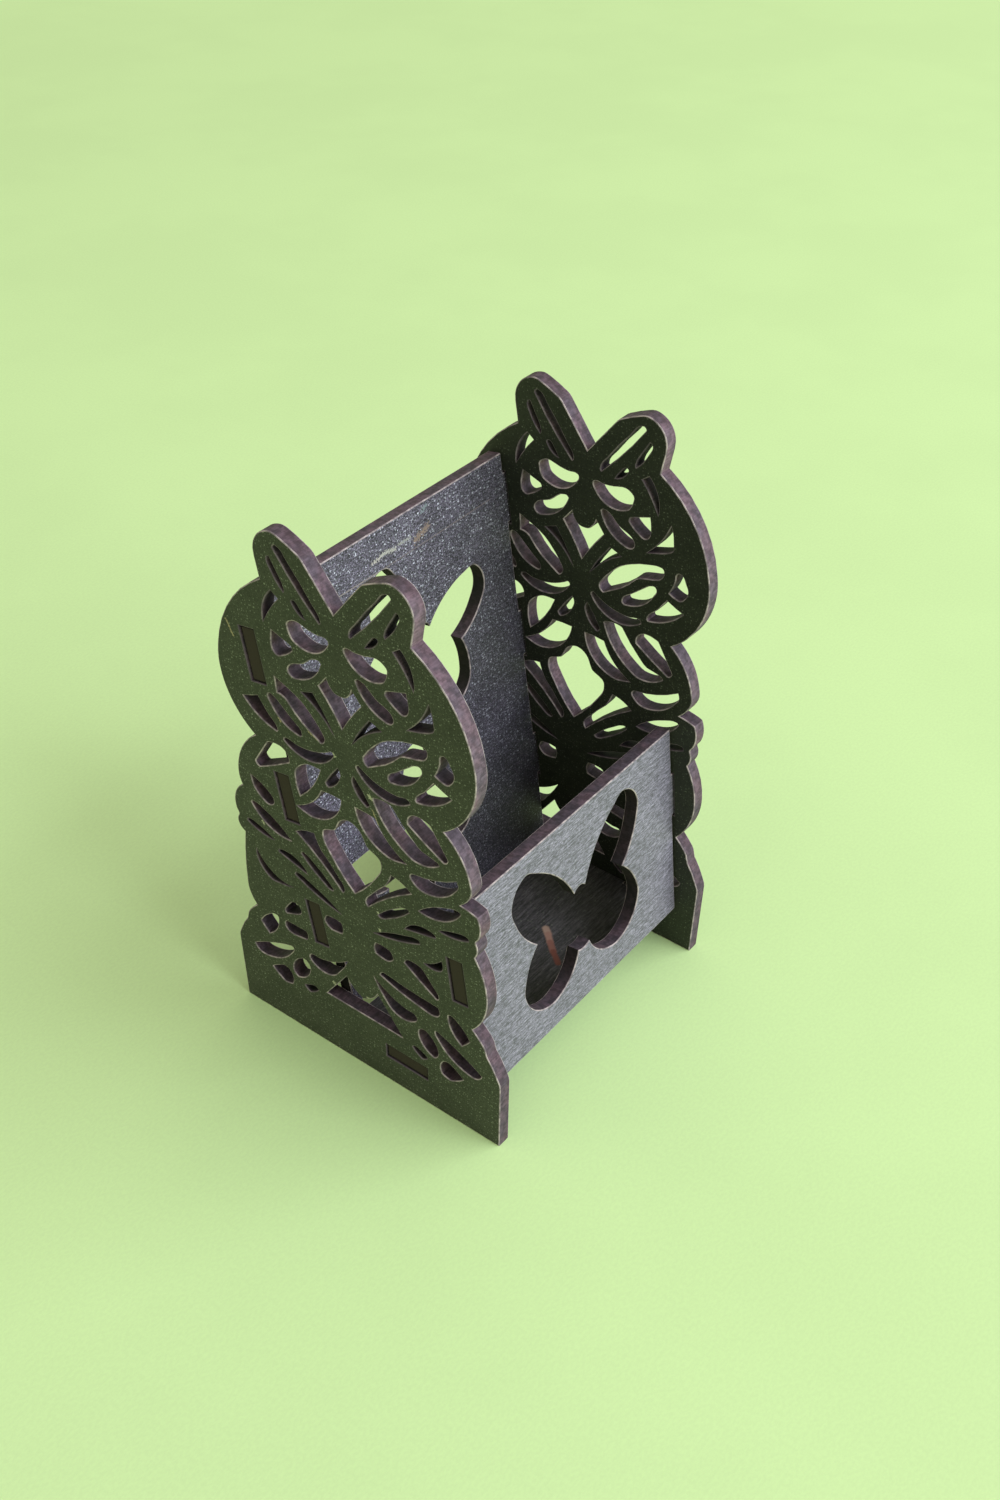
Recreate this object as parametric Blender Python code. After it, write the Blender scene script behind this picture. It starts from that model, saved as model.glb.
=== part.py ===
"""Business card holder cut from dark board: two pierced side boards joined by three panels.

The side boards stand upright and carry the same outline and fretwork. A low front panel and a
tall back panel lean back between them and hold the cards, which stand on a small floor panel.
Every panel has tenons on its side edges that sit in slots through the side boards.

Metres, +Z up. The origin is on the ground in the middle, and the front faces -Y.
"""

import math
from collections import namedtuple

import bmesh
import bpy
from mathutils import Vector
from mathutils.geometry import delaunay_2d_cdt


# Sheet, the gap round what fits in it, and how far a flat facet may stray from its arc
SHEET = 0.0030
FIT = 0.0003
ARC_ERROR = 0.00005

# Side boards
SIDE_DEPTH = 0.0680
SIDE_HEIGHT = 0.1180
INNER_WIDTH = 0.0660

# Tenons, which are as thick as the sheet
TENON = 0.0100

# Floor panel, by the height of its top face
FLOOR_TOP = 0.0103

# Front panel: its lean, its size along the slope, and the butterfly cut in it
FRONT_LEAN = math.radians(7.4)
FRONT_HEIGHT = 0.0457
FRONT_BUTTERFLY_SPAN = 0.0412

# Back panel, which has a row of tenons and stops short of the floor panel
BACK_LEAN = math.radians(8.85)
BACK_HEIGHT = 0.0906
BACK_FLOOR_GAP = 0.0013
BACK_TENON_PITCH = 0.0292
BACK_TENON_COUNT = 3
BACK_BUTTERFLY_SPAN = 0.0338
UPPER_BUTTERFLY_TURN = math.radians(-22.5)
LOWER_BUTTERFLY_TURN = math.radians(35.5)

# Middles of the butterflies, as shares of their panel's inner width and of its height
FRONT_BUTTERFLY_SHARES = (0.0, 0.466)
UPPER_BUTTERFLY_SHARES = (0.045, 0.692)
LOWER_BUTTERFLY_SHARES = (-0.097, 0.273)

# Edges that turn more than this stay crisp
CRISP_ANGLE = math.radians(40)

# The side board's drawing lies on a grid of squares over its depth and height. Each corner is
# (squares forward of the middle, squares up, bow of the side to the next corner). A bow is the
# rise of an arc as a share of half its chord: positive bows outward, negative inward. All closed
# loops run anticlockwise with forward to the right.
DEPTH_SQUARES = 68
HEIGHT_SQUARES = 118

# Where the panels cross the boards: the middle of a tenon's front face (the middle one of a row),
# and for the floor panel how far forward the middle of its tenon lies
FRONT_TENON_SHARES = (25.4, 40.25)
BACK_TENON_SHARES = (-13.75, 63.4)
FLOOR_TENON_SHARE = 10.7

LOWER_OUTLINE_SHARES = [
    (33.9, 0.0, 0.0),
    (34.0, 17.5, 0.09),
    (30.8, 24.2, 0.0),
    (30.3, 26.1, 0.07),
]
FRONT_WAIST_SHARES = [
    (27.4, 29.6, 0.19),
    (30.8, 40.0, 0.13),
    (28.0, 48.8, 0.28),
    (28.2, 52.6, 0.28),
    (28.6, 58.9, 0.08),
    (24.9, 59.7, 0.18),
]
REAR_WAIST_SHARES = [
    (27.4, 29.7, 0.20),
    (29.2, 35.5, 0.04),
    (27.9, 48.7, 0.50),
    (28.9, 52.5, 0.25),
    (28.6, 58.7, 0.08),
    (26.8, 60.7, 0.12),
]
UPPER_OUTLINE_SHARES = [
    (27.4, 63.8, 0.22),
    (21.6, 74.5, 0.25),
    (28.5, 88.0, 0.25),
    (15.9, 108.3, 0.03),
    (16.7, 113.6, 0.38),
    (12.2, 118.0, 0.10),
    (6.0, 115.3, 0.0),
]
TOP_NOTCH_SHARES = (0.0, 107.8, 0.0)

# Holes that repeat in front of the middle and behind it
PAIRED_HOLES_SHARES = [
    [(24.8, 23.4, 0.05), (26.7, 25.8, 0.17), (22.5, 29.9, 0.3), (21.6, 29.6, 0.26)],
    [(18.3, 22.6, 0.27), (27.0, 16.1, 0.4), (29.5, 17.8, 0.07), (18.7, 23.2, 0.5)],
    [(17.8, 15.2, 0.3), (18.9, 17.0, 0.3), (15.6, 21.5, 0.4), (14.1, 19.9, 0.33)],
    [(19.9, 11.8, 0.1), (21.8, 11.3, 0.12), (25.0, 13.7, 0.1), (21.4, 16.0, 0.25), (20.1, 15.4, 0.0)],
    [(12.4, 14.6, 0.12), (14.7, 12.7, 0.25), (16.1, 13.8, 0.12), (13.1, 15.1, 0.3)],
    [(3.3, 28.5, 0.08), (7.6, 22.0, 0.34), (13.2, 22.4, 0.5), (13.4, 24.2, -0.18)],
    [(4.3, 35.5, 0.1), (7.2, 35.2, 0.2), (8.5, 36.5, 0.15), (7.9, 38.0, 0.15), (4.4, 38.2, 0.25)],
    [(4.0, 40.7, 0.08), (15.2, 44.5, 0.6), (14.5, 45.3, 0.08)],
    [(11.9, 46.4, 0.0), (19.0, 48.3, 0.5), (18.6, 49.0, 0.35)],
    [(20.0, 50.7, 0.16), (26.6, 52.1, 0.5), (25.9, 52.8, 0.1)],
    [(6.2, 45.8, 0.11), (13.0, 51.1, 0.5), (12.2, 51.5, 0.1), (5.5, 46.1, 0.4)],
    [(3.1, 46.9, -0.07), (13.7, 56.1, 0.15), (9.2, 57.9, -0.08), (7.6, 54.4, 0.06), (2.7, 48.2, 0.3)],
    [(15.4, 52.9, 0.33), (24.9, 57.5, 0.4), (24.2, 57.9, 0.15)],
    [(4.4, 71.2, 0.3), (5.0, 71.9, 0.05), (1.8, 76.5, 0.1), (1.4, 75.5, 0.26)],
    [(1.7, 69.6, 0.37), (9.5, 62.0, 0.05), (12.9, 62.7, -0.2), (6.2, 69.4, 0.05)],
    [(13.7, 72.1, 0.03), (21.3, 67.6, 0.5), (22.2, 68.6, 0.0), (18.7, 74.1, 0.2), (15.3, 74.7, 0.4)],
    [(2.6, 78.8, 0.47), (14.3, 76.8, 0.5), (13.8, 77.4, -0.22), (3.1, 79.4, 0.4)],
    [(15.9, 78.0, 0.19), (23.3, 82.3, -0.03), (19.7, 83.8, -0.04), (15.7, 78.6, 0.5)],
    [(10.2, 79.5, 0.33), (17.1, 85.1, 0.5), (16.2, 85.6, 0.07), (9.8, 80.3, 0.4)],
    [(1.9, 83.3, -0.14), (8.8, 89.3, 0.0), (6.3, 90.2, 0.05)],
    [(3.8, 97.0, 0.31), (10.5, 91.6, 0.6), (11.3, 93.3, -0.04), (4.7, 97.4, 0.4)],
    [(10.1, 97.0, 0.15), (13.7, 94.7, 0.3), (14.7, 95.7, 0.1), (14.4, 99.2, 0.0), (10.5, 97.9, 0.3)],
    [(12.2, 106.0, -0.08), (16.1, 100.3, 0.24), (13.6, 107.0, 0.05)],
    [(1.7, 101.9, 0.5), (9.8, 99.4, 0.18), (10.6, 102.0, 0.3), (8.0, 103.1, -0.1), (2.0, 102.4, 0.4)],
    [(6.4, 104.4, 0.25), (9.1, 106.7, 0.5), (8.6, 107.0, 0.1)],
    [(3.3, 104.9, 0.05), (12.1, 115.2, 0.6), (11.3, 115.8, 0.07), (3.1, 105.4, 0.4)],
    [(10.7, 107.9, 0.15), (13.7, 112.8, 0.5), (13.2, 113.3, 0.05), (10.6, 108.4, 0.3)],
]

# Holes in front of the middle only
FRONT_HOLES_SHARES = [
    [(5.0, 30.1, 0.09), (18.2, 27.3, 0.65), (18.9, 30.1, -0.04), (6.4, 31.1, 0.4)],
    [(11.4, 37.3, 0.02), (18.8, 32.3, 0.5), (19.4, 33.0, 0.08), (15.2, 38.4, 0.15), (12.3, 38.5, 0.3)],
    [(16.2, 40.2, 0.2), (19.7, 40.3, 0.3), (20.5, 41.6, 0.05), (20.3, 43.1, -0.15)],
    [(13.7, 60.1, 0.3), (16.8, 58.2, 0.3), (24.4, 63.7, 0.1), (24.1, 64.7, -0.12), (14.3, 61.0, 0.4)],
    [(6.0, 73.7, 0.22), (14.5, 64.5, 0.23), (20.3, 66.3, 0.4), (19.8, 66.8, 0.03), (16.5, 67.5, -0.08),
     (10.5, 73.7, 0.3), (9.6, 74.3, 0.0), (6.4, 74.0, 0.3)],
    [(5.3, 80.3, 0.0), (9.2, 82.7, 0.02), (12.4, 85.8, -0.05), (17.3, 87.5, 0.3), (18.4, 89.2, 0.5),
     (17.5, 90.1, 0.12), (9.0, 87.2, 0.08), (5.0, 82.8, 0.0), (4.4, 81.6, 0.35)],
    [(20.0, 85.6, 0.15), (22.5, 84.9, 0.25), (23.9, 87.2, 0.1), (22.3, 90.2, 0.4), (21.3, 90.0, -0.12)],
    [(14.4, 92.1, 0.05), (19.4, 94.0, 0.4), (19.9, 95.4, 0.08), (19.1, 99.1, -0.14)],
]

# Holes behind the middle only, drawn as their mirror image
REAR_HOLES_SHARES = [
    [(14.2, 27.9, 0.06), (18.4, 27.4, 0.65), (19.2, 30.0, 0.0), (14.3, 30.1, 0.3), (13.8, 29.5, 0.0)],
    [(15.4, 34.1, 0.03), (18.9, 32.4, 0.5), (19.2, 33.2, 0.1), (16.8, 36.4, 0.5), (14.9, 35.2, 0.3)],
    [(16.3, 40.6, 0.08), (22.0, 39.7, 0.35), (25.2, 45.8, -0.36)],
    [(18.9, 60.2, 0.3), (20.4, 59.3, 0.2), (23.6, 61.9, 0.05), (24.1, 64.3, 0.1), (22.5, 63.8, 0.0),
     (19.3, 61.7, 0.3)],
    [(11.7, 65.6, 0.15), (12.2, 71.0, 0.2), (8.8, 73.9, 0.05), (6.1, 74.1, 0.13)],
    [(5.3, 80.3, 0.0), (9.2, 82.7, 0.02), (12.4, 85.9, 0.0), (14.7, 86.7, 0.0), (14.9, 89.8, 0.05),
     (9.0, 87.1, 0.08), (5.0, 82.8, 0.0), (4.4, 81.6, 0.35)],
]

# Front halves of the holes on the middle line, from the lowest point to the highest
MIDDLE_HOLES_SHARES = [
    [(0.0, 15.5, 0.0), (9.9, 15.5, 0.0), (4.0, 23.9, -0.12), (1.8, 21.2, 0.0), (0.0, 20.2, 0.0)],
    [(0.0, 48.4, 0.1), (6.8, 58.0, 0.12), (6.7, 59.9, 0.1), (3.9, 61.5, -0.05), (2.6, 64.0, 0.05),
     (1.2, 65.2, 0.1), (0.0, 65.5, 0.0)],
    [(0.0, 85.7, -0.05), (4.6, 92.4, 0.0), (2.8, 94.7, -0.2), (1.2, 92.4, 0.0), (0.0, 92.2, 0.0)],
]

# Right half of the butterfly, as shares of half its span, from the tail to the head
BUTTERFLY_SHARES = [
    (0.092, -0.391, 0.30),
    (0.527, -0.734, 0.387),
    (0.942, -0.333, 0.18),
    (0.691, 0.121, 0.18),
    (1.0, 0.70, 0.36),
    (0.754, 0.966, 0.20),
    (0.087, 0.30, 0.5),
]
TAIL_BOW_SHARE = 0.26

# A leaning panel's front face, by the middle of its tenon on the side boards' drawing
Slope = namedtuple("Slope", "forward up lean")


def arc_points(start, end, bow):
    """Return the points of an arc from start up to but without end."""
    chord = end - start
    rise = abs(bow) * chord.length / 2
    steps = max(1, math.ceil(math.sqrt(rise / ARC_ERROR)))
    if steps == 1:
        return [start]
    turn = 4 * math.atan(bow)
    radius = chord.length / (2 * math.sin(turn / 2))
    left = Vector((-chord.y, chord.x)).normalized()
    centre = (start + end) / 2 + left * radius * math.cos(turn / 2)
    arm = start - centre
    points = []
    for step in range(steps):
        angle = turn * step / steps
        x = arm.x * math.cos(angle) - arm.y * math.sin(angle)
        y = arm.x * math.sin(angle) + arm.y * math.cos(angle)
        points.append(centre + Vector((x, y)))
    return points


def rounded(corners, closed=True):
    """Turn corners of (across, up, bow) into points, with an arc along each side that bows."""
    follow = corners[1:] + corners[:1]
    sides = list(zip(corners, follow))
    if not closed:
        sides.pop()
    points = []
    for corner, after in sides:
        points += arc_points(Vector(corner[:2]), Vector(after[:2]), corner[2])
    if not closed:
        points.append(Vector(corners[-1][:2]))
    return points


def mirrored(points):
    """Mirror points across the middle line and keep them anticlockwise."""
    return [Vector((-point.x, point.y)) for point in reversed(points)]


def on_side_board(corners):
    """Scale corners from grid squares to the side board's size."""
    across = SIDE_DEPTH / DEPTH_SQUARES
    up = SIDE_HEIGHT / HEIGHT_SQUARES
    return [(corner[0] * across, corner[1] * up, corner[2]) for corner in corners]


def side_outline():
    """Return the side board's outline, up its front edge and down its rear edge."""
    notch = [TOP_NOTCH_SHARES]
    front = LOWER_OUTLINE_SHARES + FRONT_WAIST_SHARES + UPPER_OUTLINE_SHARES + notch
    rear = LOWER_OUTLINE_SHARES + REAR_WAIST_SHARES + UPPER_OUTLINE_SHARES + notch
    front_points = rounded(on_side_board(front), closed=False)
    rear_points = mirrored(rounded(on_side_board(rear), closed=False))
    return front_points + rear_points[1:]


def side_holes():
    """Return the outlines of every fretwork hole in a side board."""
    paired = [rounded(on_side_board(hole)) for hole in PAIRED_HOLES_SHARES]
    front = [rounded(on_side_board(hole)) for hole in FRONT_HOLES_SHARES]
    rear = [rounded(on_side_board(hole)) for hole in REAR_HOLES_SHARES]
    holes = paired + front
    holes += [mirrored(hole) for hole in paired + rear]
    for half in MIDDLE_HOLES_SHARES:
        points = rounded(on_side_board(half), closed=False)
        holes.append(points + mirrored(points)[1:-1])
    return holes


def butterfly(span):
    """Return a butterfly's outline about the middle of its body."""
    half = span / 2
    corners = [(x * half, y * half, bow) for x, y, bow in BUTTERFLY_SHARES]
    head = (-corners[-1][0], corners[-1][1], 0.0)
    right = rounded(corners + [head], closed=False)
    left = mirrored(right)[1:]
    head_points = len(arc_points(Vector(corners[-1][:2]), Vector(head[:2]), corners[-1][2]))
    tail = arc_points(left[-1], right[0], TAIL_BOW_SHARE)[1:]
    return right + left[head_points:] + tail


def turned(points, angle, across, up):
    """Turn points about the origin and move them."""
    cosine = math.cos(angle)
    sine = math.sin(angle)
    return [
        Vector((point.x * cosine - point.y * sine + across, point.x * sine + point.y * cosine + up))
        for point in points
    ]


def rectangle(across, up, width, height):
    """Return a rectangle's corners about its middle."""
    return [
        Vector((across - width / 2, up - height / 2)),
        Vector((across + width / 2, up - height / 2)),
        Vector((across + width / 2, up + height / 2)),
        Vector((across - width / 2, up + height / 2)),
    ]


def tenoned(low, high, tenons):
    """Return the outline of a panel between the side boards, with tenons at the given middles."""
    edge = INNER_WIDTH / 2 - FIT
    tip = INNER_WIDTH / 2 + SHEET - FIT
    right = [Vector((edge, low))]
    for middle in tenons:
        right.append(Vector((edge, middle - TENON / 2)))
        right.append(Vector((tip, middle - TENON / 2)))
        right.append(Vector((tip, middle + TENON / 2)))
        right.append(Vector((edge, middle + TENON / 2)))
    right.append(Vector((edge, high)))
    return right + mirrored(right)


def slope_through(tenon_shares, lean):
    """Return the slope of a leaning panel's front face, through the middle of a tenon."""
    forward, up = on_side_board([(*tenon_shares, 0)])[0][:2]
    return Slope(forward, up, lean)


def rise_to(height, slope):
    """Return how far up a slope from its tenon a height is reached."""
    return (height - slope.up) / math.cos(slope.lean)


def forward_at(height, slope):
    """Return how far forward a slope is at a height."""
    return slope.forward - (height - slope.up) * math.tan(slope.lean)


def slots_on(slope, tenons):
    """Return the slots that a leaning panel's tenons need, on the side boards' drawing."""
    slots = [rectangle(-SHEET / 2, tenon, SHEET + FIT * 2, TENON + FIT * 2) for tenon in tenons]
    return [turned(slot, slope.lean, slope.forward, slope.up) for slot in slots]


def placed_butterfly(span, turn, shares, low, height):
    """Return a butterfly placed on a panel by shares of its inner width and its height."""
    return turned(butterfly(span), turn, INNER_WIDTH * shares[0], low + height * shares[1])


def across_x(forward, up, through):
    """Place a point of a side board's drawing, with its thickness along X."""
    return Vector((through, -forward, up))


def across_y(across, up, through):
    """Place a point of a leaning panel's drawing, with its thickness along Y."""
    return Vector((across, through, up))


def across_z(across, back, through):
    """Place a point of the floor panel's drawing, with its thickness along Z."""
    return Vector((across, back, through))


def make_board(name, outline, openings, place, near, colour, roughness):
    """Cut a board from the sheet by its outline and openings, and give it a plain material."""
    points = []
    loops = []
    for loop in [outline] + openings:
        loops.append(range(len(points), len(points) + len(loop)))
        points += loop
    corners, _, triangles, _, _, sources = delaunay_2d_cdt(points, [], loops, 1, 0, True)
    form = bmesh.new()
    lower = [form.verts.new(place(corner.x, corner.y, near)) for corner in corners]
    for triangle, inside in zip(triangles, sources):
        if inside == [0]:
            form.faces.new([lower[corner] for corner in triangle])
    loose = [corner for corner in form.verts if not corner.link_faces]
    bmesh.ops.delete(form, geom=loose, context="VERTS")
    swept = bmesh.ops.extrude_face_region(form, geom=form.faces[:])
    moved = [item for item in swept["geom"] if isinstance(item, bmesh.types.BMVert)]
    bmesh.ops.translate(form, verts=moved, vec=place(0, 0, SHEET))
    bmesh.ops.recalc_face_normals(form, faces=form.faces)
    mesh = bpy.data.meshes.new(name)
    form.to_mesh(mesh)
    form.free()
    mesh.shade_smooth()
    mesh.set_sharp_from_angle(angle=CRISP_ANGLE)
    mesh.materials.append(make_material(name, colour, roughness))
    board = bpy.data.objects.new(name, mesh)
    bpy.context.collection.objects.link(board)
    return board


def make_material(name, colour, roughness):
    """Make a plain material of one colour."""
    material = bpy.data.materials.new(name)
    material.use_nodes = True
    shader = material.node_tree.nodes["Principled BSDF"]
    shader.inputs["Base Color"].default_value = (*colour, 1.0)
    shader.inputs["Roughness"].default_value = roughness
    shader.inputs["Metallic"].default_value = 0.0
    return material


def lean_back(panel, slope):
    """Put a panel's own frame on its slope."""
    panel.location = (0, -slope.forward, slope.up)
    panel.rotation_euler = (-slope.lean, 0, 0)


def make_front_panel(slope):
    """Make the low front panel, with one tenon a side, and return its slots."""
    low = rise_to(FLOOR_TOP + FIT, slope)
    tenons = [0]
    outline = tenoned(low, low + FRONT_HEIGHT, tenons)
    figure = placed_butterfly(FRONT_BUTTERFLY_SPAN, 0, FRONT_BUTTERFLY_SHARES, low, FRONT_HEIGHT)
    panel = make_board("front_panel", outline, [figure], across_y, 0, (0.16, 0.18, 0.20), 0.55)
    lean_back(panel, slope)
    return slots_on(slope, tenons)


def make_back_panel(slope):
    """Make the tall back panel, with its row of tenons, and return its slots."""
    low = rise_to(FLOOR_TOP + BACK_FLOOR_GAP, slope)
    first = -BACK_TENON_PITCH * (BACK_TENON_COUNT - 1) / 2
    tenons = [first + BACK_TENON_PITCH * row for row in range(BACK_TENON_COUNT)]
    outline = tenoned(low, low + BACK_HEIGHT, tenons)
    figures = [
        placed_butterfly(BACK_BUTTERFLY_SPAN, UPPER_BUTTERFLY_TURN, UPPER_BUTTERFLY_SHARES, low, BACK_HEIGHT),
        placed_butterfly(BACK_BUTTERFLY_SPAN, LOWER_BUTTERFLY_TURN, LOWER_BUTTERFLY_SHARES, low, BACK_HEIGHT),
    ]
    panel = make_board("back_panel", outline, figures, across_y, 0, (0.07, 0.08, 0.095), 0.6)
    lean_back(panel, slope)
    return slots_on(slope, tenons)


def make_floor_panel(front_slope, back_slope):
    """Make the floor panel between the feet of the leaning panels, and return its slots."""
    low = FLOOR_TOP - SHEET
    front = SHEET / math.cos(FRONT_LEAN) + FIT - forward_at(FLOOR_TOP, front_slope)
    rear = -FIT - forward_at(low, back_slope)
    tenon = FLOOR_TENON_SHARE * SIDE_DEPTH / DEPTH_SQUARES
    outline = tenoned(front, rear, [-tenon])
    make_board("floor_panel", outline, [], across_z, low, (0.05, 0.05, 0.05), 0.65)
    return [rectangle(tenon, low + SHEET / 2, TENON + FIT * 2, SHEET + FIT * 2)]


def make_side_boards(slots):
    """Make both side boards from one drawing of outline, fretwork and slots."""
    middle = (INNER_WIDTH + SHEET) / 2
    openings = side_holes() + slots
    for name, side in (("left_side_board", -1), ("right_side_board", 1)):
        board = make_board(name, side_outline(), openings, across_x, -SHEET / 2, (0.055, 0.06, 0.055), 0.6)
        board.location.x = side * middle


def main():
    """Clear the scene and build the card holder."""
    for thing in list(bpy.data.objects):
        bpy.data.objects.remove(thing, do_unlink=True)
    front_slope = slope_through(FRONT_TENON_SHARES, FRONT_LEAN)
    back_slope = slope_through(BACK_TENON_SHARES, BACK_LEAN)
    slots = make_front_panel(front_slope)
    slots += make_back_panel(back_slope)
    slots += make_floor_panel(front_slope, back_slope)
    make_side_boards(slots)


main()
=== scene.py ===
"""Looks for the fretwork card holder: dark boards with pale cut rims, on a pale green table.

Each board is read from the CAD model in model.glb as a flat drawing. Its arcs are drawn finer,
and a Geometry Nodes tree cuts it from the sheet again with softened edges.
"""

import math
from collections import namedtuple

import bmesh
import bpy
from mathutils import Matrix, Vector
from mathutils.geometry import delaunay_2d_cdt


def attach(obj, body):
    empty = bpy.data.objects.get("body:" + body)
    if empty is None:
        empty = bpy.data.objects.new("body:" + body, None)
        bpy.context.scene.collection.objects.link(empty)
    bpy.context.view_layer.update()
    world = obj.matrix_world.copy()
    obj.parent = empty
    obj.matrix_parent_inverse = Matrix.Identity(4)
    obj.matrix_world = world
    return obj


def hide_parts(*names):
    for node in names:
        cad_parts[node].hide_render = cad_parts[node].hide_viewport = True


bl_info = {
    "name": "Fretwork Card Holder",
    "version": (1, 0, 0),
    "blender": (4, 5, 0),
    "location": "View3D > Sidebar > Card Holder",
    "description": "Dresses the boards of a fretwork card holder and sets its studio",
    "category": "Object",
}

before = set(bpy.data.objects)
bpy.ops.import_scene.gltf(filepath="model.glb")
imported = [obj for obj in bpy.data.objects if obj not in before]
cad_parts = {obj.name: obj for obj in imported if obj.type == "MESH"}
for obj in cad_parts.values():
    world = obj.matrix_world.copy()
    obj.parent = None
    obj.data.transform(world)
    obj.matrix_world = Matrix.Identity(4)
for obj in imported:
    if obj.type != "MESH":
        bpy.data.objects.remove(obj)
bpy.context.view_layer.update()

# How a board's drawing is read: points this near are one, faces this near the foremost plane
# lie in it, and directions whose dot product is above this are the same
MERGE = 0.000001
SAME_PLANE = 0.00001
SAME_WAY = 0.999

# How it is redrawn: the turn that makes a corner, the length that makes a straight run, and the
# turn at each point of a finer curve
CORNER_TURN = math.radians(50)
STRAIGHT_RUN = 0.0040
FACET_TURN = math.radians(7.5)

# How it is drawn in: the longest step at a corner, the share that a step keeps where rings would
# cross, how many softenings round a crossing the steps are eased, and how often at most
MITRE_LIMIT = 1.6
EASING = 0.6
EASING_REACH = 2.5
EASING_ROUNDS = 100

# The fill that returns the triangles inside the rings
INSIDE_RINGS = 1

# Edges that turn more than this are shaded crisp
CRISP_TURN = math.radians(15)

# A softened edge as shares of its size: (step through the sheet, step out of the face), from
# the rear face to the wall. The front face's edge is the same the other way round.
SOFTENED_EDGE_SHARES = [(0.29, 0.71), (0.71, 0.29)]

# Light in the holes: a hole with this share of area to outline is fully lit, and a slot, which a
# tenon fills, is nearly dark
OPEN_WIDTH = 0.0032
SLOT_CORNERS = 4
SLOT_OPENNESS = 0.10

# A reach past any board, for boards without tenons, and the length over which a tenon's finish
# begins
NO_TENONS = 10.0
TENON_FADE = 0.0003

# The part of a noise's values that its tones are spread over, and the noises' fine structure
NOISE_SPAN = (0.3, 0.7)
STREAK_DETAIL = 3.0
STREAK_ROUGHNESS = 0.65
CLOUD_ROUGHNESS = 0.6

# Roughness and gloss of the rims, the cut edges and the table
RIM_FINISH = (0.7, 0.3)
EDGE_FINISH = (0.8, 0.25)
TABLE_FINISH = (0.9, 0.2)

# Specks: least size, fineness and depth of their ragged outline, where it fades out and in, and
# their height beside the tone's
SPECK_LEAST = 0.4
SPECK_NOISE = 2.6
SPECK_RAGGEDNESS = 0.9
SPECK_FADE = (1.1, 0.5)
SPECK_RELIEF = 0.5

# Scuffs: fineness and depth of their ragged outline, where it fades out and in, and how far
# behind the forward face they still show
SCUFF_NOISE = 2600.0
SCUFF_RAGGEDNESS = 4.0
SCUFF_FADE = (1.0, 0.4)
SCUFF_DEPTH = -0.001

# Rims: size of the worn patches, tones of the burr over wear and, as painted shade, over how open
# a hole is, and tone of the worn and the burnt ones
WEAR_SIZE = 0.0018
WEAR_TONES = (0.25, 1.0)
RIM_OPENNESS = (0.1, 0.9, 0.12, 1.0)
WORN_TONE = 0.6

# Cut edges: sizes of mottle and patches, fineness of the ribs and how they stretch through the
# sheet, the tones of each, the ribs' height and the patches' tint
MOTTLE_SIZE = 0.0011
PATCH_SIZE = 0.0045
RIB_NOISE = 3400.0
RIB_STRETCH = (1, 1, 0.12)
MOTTLE_TONES = (0.72, 1.28)
PATCH_TONES = (0.84, 1.16)
RIB_TONES = (0.85, 1.15)
RIB_RELIEF = 0.00003
WARM_TINT = (1.12, 0.93, 0.88, 1.0)

# Painted light and shade on the cut edges: tones from the rear to the forward face, heights
# where the low tone ends and the top tone is reached, how far each way an edge faces where it
# gets painted shade, and how deep and how closed a slit is where it darkens
DEPTH_TONES = (0.86, 1.08)
LOW_TO_TOP = (0.010, 0.105)
TOP_TONE = 1.05
FACING_UP = (0.5, 1.0)
FACING_LEFT = (-0.85, -0.2)
SLIT_DEPTHS = (0.0, -0.0012, 0.35, 1.0)
SLIT_OPENNESS = (0.15, 1.0)

# Faces: height of the relief, and where through the sheet the two sides' tones change over, as
# shares of half its thickness; the darker side is painted shade on a side board's inner face
FACE_RELIEF = 0.00002
SIDES_CHANGE = (1.1, 0.9)

# Table: corners of its outline, size and tones of its clouds, and its paper fibres
TABLE_CORNERS = 96
TABLE_CLOUD = 0.09
TABLE_TONES = (0.985, 1.015)
TABLE_FIBRE = {"Length": 0.0009, "Width": 0.0006, "Contrast": 0.025}

# Socket types that go with default values
SOCKET_TYPES = {float: "NodeSocketFloat", tuple: "NodeSocketVector"}

# A board read as a drawing: its frame (forward face's axes), both faces' depths and its loops
Drawing = namedtuple("Drawing", "across up facing front rear loops")


# Nodes

def put(tree, kind, inputs=None, **settings):
    """Add a node with its settings, and set or link its inputs by name or index."""
    node = tree.nodes.new(kind)
    for name, value in settings.items():
        setattr(node, name, value)
    for key, value in (inputs or {}).items():
        if isinstance(value, bpy.types.NodeSocket):
            tree.links.new(value, node.inputs[key])
        else:
            node.inputs[key].default_value = value
    return node


def new_group(name, kind, inputs, output, output_type):
    """Start a node group. Each named input is given as its default value or its socket type."""
    tree = bpy.data.node_groups.new(name, kind)
    for socket_name, given in inputs.items():
        socket_type = SOCKET_TYPES.get(type(given), given)
        socket = tree.interface.new_socket(socket_name, in_out="INPUT", socket_type=socket_type)
        if type(given) in SOCKET_TYPES:
            socket.default_value = given
    tree.interface.new_socket(output, in_out="OUTPUT", socket_type=output_type)
    entry = tree.nodes.new("NodeGroupInput")
    leave = tree.nodes.new("NodeGroupOutput")
    return tree, entry.outputs, leave.inputs


def maths(tree, operation, first, second=0.0):
    """Add a Math node and return its result."""
    return put(tree, "ShaderNodeMath", {0: first, 1: second}, operation=operation).outputs[0]


def times(tree, first, second):
    """Return the product of two values."""
    return maths(tree, "MULTIPLY", first, second)


def vector_maths(tree, operation, first, second=(0, 0, 0), output="Vector"):
    """Add a Vector Math node and return its vector or its value."""
    node = put(tree, "ShaderNodeVectorMath", {0: first, 1: second}, operation=operation)
    return node.outputs[output]


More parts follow.
